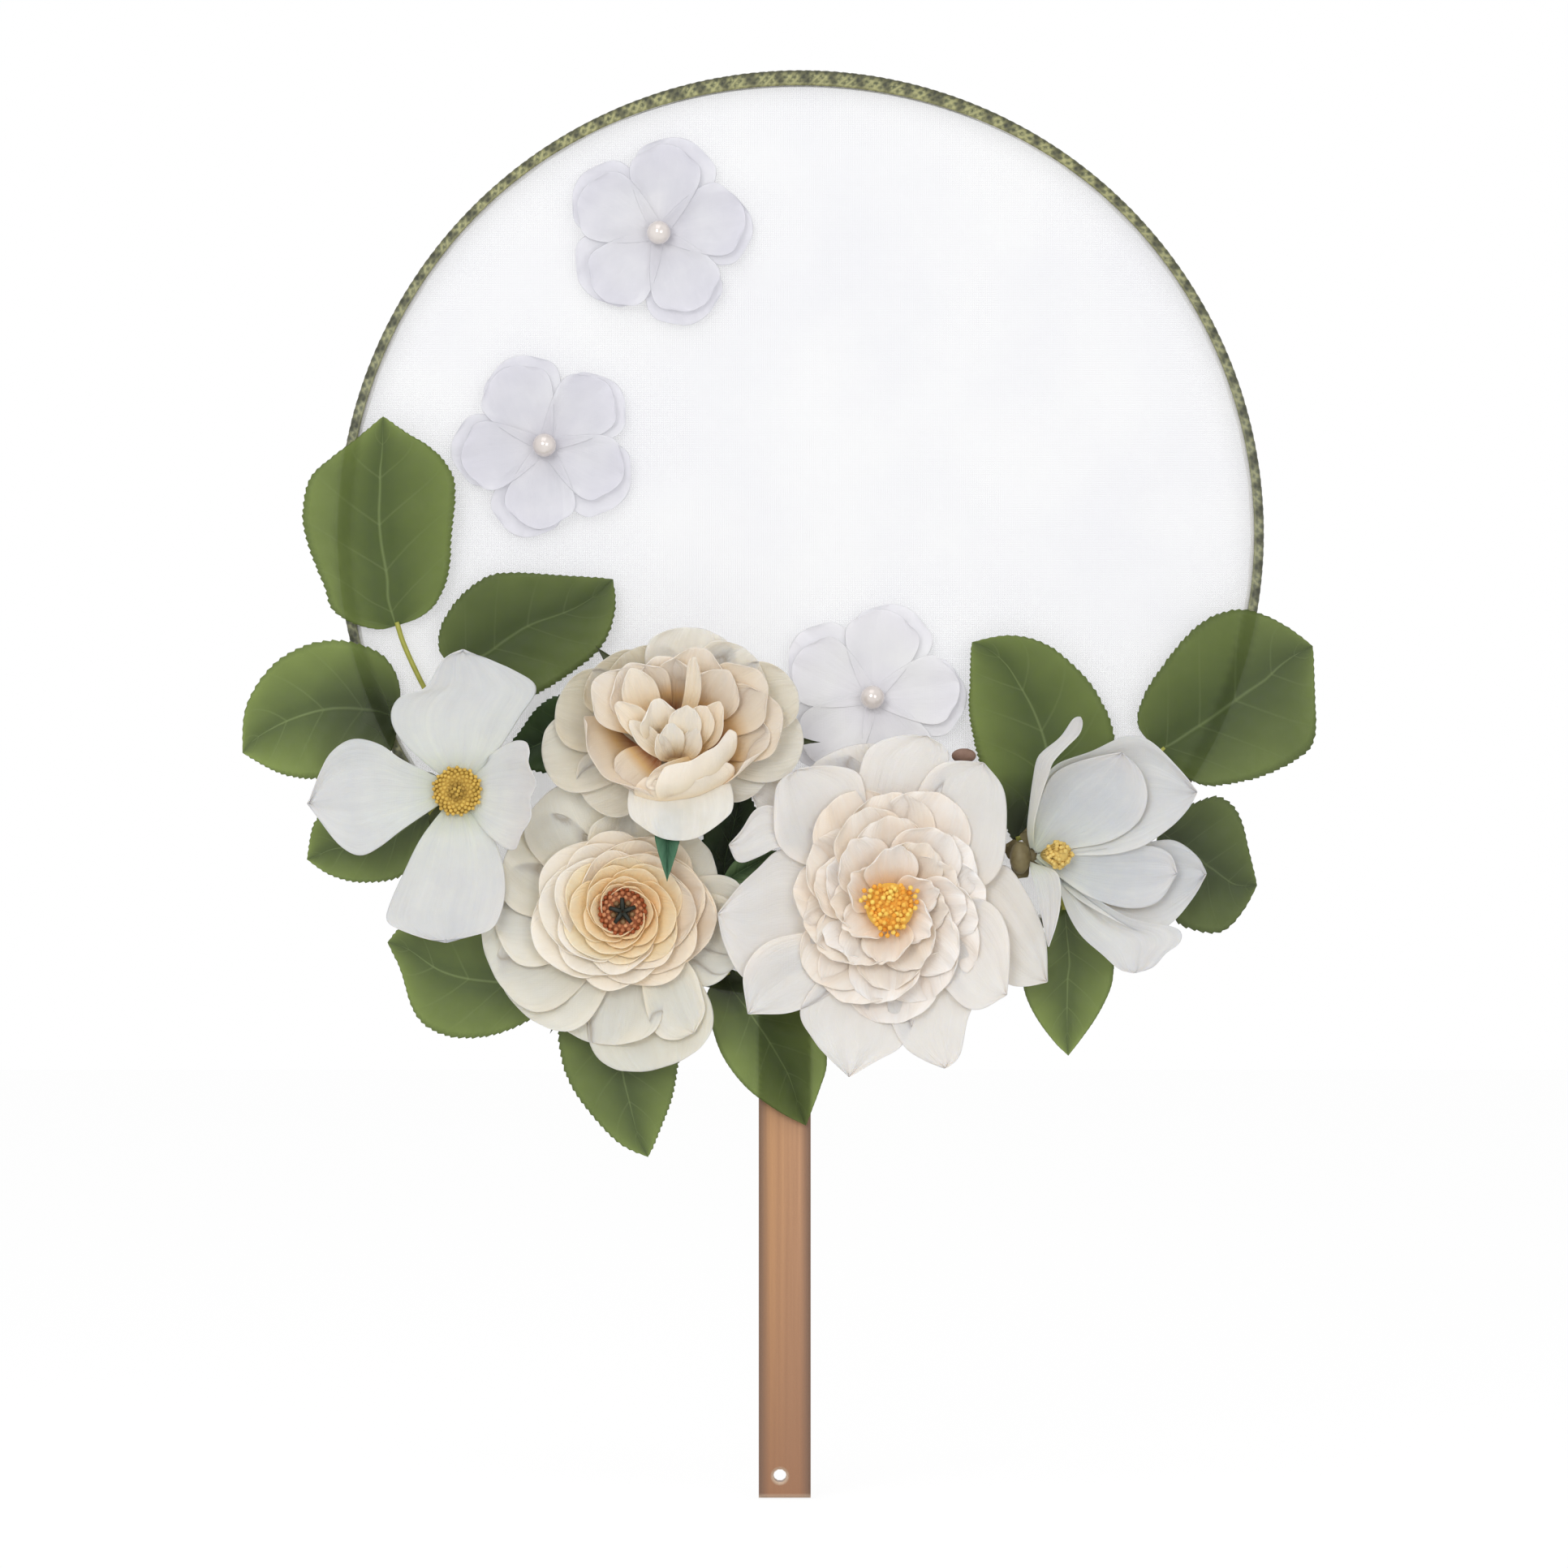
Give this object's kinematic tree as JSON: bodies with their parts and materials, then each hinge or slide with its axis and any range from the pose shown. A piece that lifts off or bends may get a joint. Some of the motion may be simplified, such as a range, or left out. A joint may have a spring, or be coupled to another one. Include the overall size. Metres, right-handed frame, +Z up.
{
  "type": "paddle hand fan",
  "caption": "Round rigid hand fan: sheer cloth on a braided hoop, a flat forked bamboo handle, and a spray of silk flowers and leaves over the lower face.",
  "frame": {"origin": "middle of the sawn foot of the handle", "axes": "+Z up the handle towards the hoop, +X to the viewer's right, the decorated face looks towards -Y"},
  "size_m": [0.2918, 0.046, 0.3849],
  "materials": {
    "bamboo": "smooth varnished bamboo strip with fine lengthwise grain",
    "peg": "plain bamboo peg",
    "organza": "sheer white organza",
    "braid": "olive and gold gimp braid with dark flecks",
    "leaf": "printed and pressed silk leaf cloth, matt",
    "dark_leaf": "dark pressed leaf cloth, matt",
    "blade": "blue-green pressed leaf cloth",
    "stem": "yellow-green moulded stem",
    "white_petal": "white silk petal cloth, matt",
    "cream_petal": "cream silk petal cloth, tan in the folds",
    "peach_petal": "peach silk petal cloth",
    "rust": "rust bundled stamens",
    "dark_green": "dark green moulded calyx and eye",
    "gold": "golden moulded stamens",
    "pearl": "nacre-coated bead"
  },
  "bodies": {
    "root": {"handle": "bamboo", "clasp_pin_lower": "peg", "clasp_pin_upper": "peg", "hoop": "bamboo", "face_cloth_front": "organza", "face_cloth_back": "organza", "edge_braid": "braid", "leaf_left_low": "leaf", "leaf_bottom_left": "leaf", "leaf_bottom": "leaf", "leaf_on_handle": "leaf", "leaf_bottom_right": "leaf", "filler_leaf_left": "dark_leaf", "filler_leaf_centre": "dark_leaf", "narrow_leaf_upper": "blade", "narrow_leaf_lower": "blade", "leaf_left_top": "leaf", "leaf_left_inner": "leaf", "leaf_left_outer": "leaf", "left_spray_stem": "stem", "leaf_right_inner": "leaf", "leaf_right_top": "leaf", "leaf_right_outer": "leaf", "right_spray_stem": "stem", "dogwood_calyx": "stem", "dogwood_petals": "white_petal", "dogwood_stamens": "gold", "rose_calyx": "dark_green", "rose_outer_petals": "cream_petal", "rose_middle_petals": "cream_petal", "rose_inner_petals": "peach_petal", "rose_heart": "peach_petal", "ranunculus_calyx": "stem", "ranunculus_outer_petals": "cream_petal", "ranunculus_middle_petals": "cream_petal", "ranunculus_inner_petals": "peach_petal", "ranunculus_stamens": "rust", "ranunculus_eye": "dark_green", "peony_calyx": "stem", "peony_guard_petals": "white_petal", "peony_outer_petals": "white_petal", "peony_outer_ruffle": "cream_petal", "peony_inner_ruffle": "cream_petal", "peony_stamens": "gold", "magnolia_calyx": "dark_green", "magnolia_outer_petals": "white_petal", "magnolia_inner_petals": "white_petal", "magnolia_stamens": "gold", "organza_top_back_petals": "organza", "organza_top_front_petals": "organza", "organza_top_pearl": "pearl", "organza_middle_back_petals": "organza", "organza_middle_front_petals": "organza", "organza_middle_pearl": "pearl", "organza_lower_back_petals": "organza", "organza_lower_front_petals": "organza", "organza_lower_pearl": "pearl"}
  },
  "joints": []
}
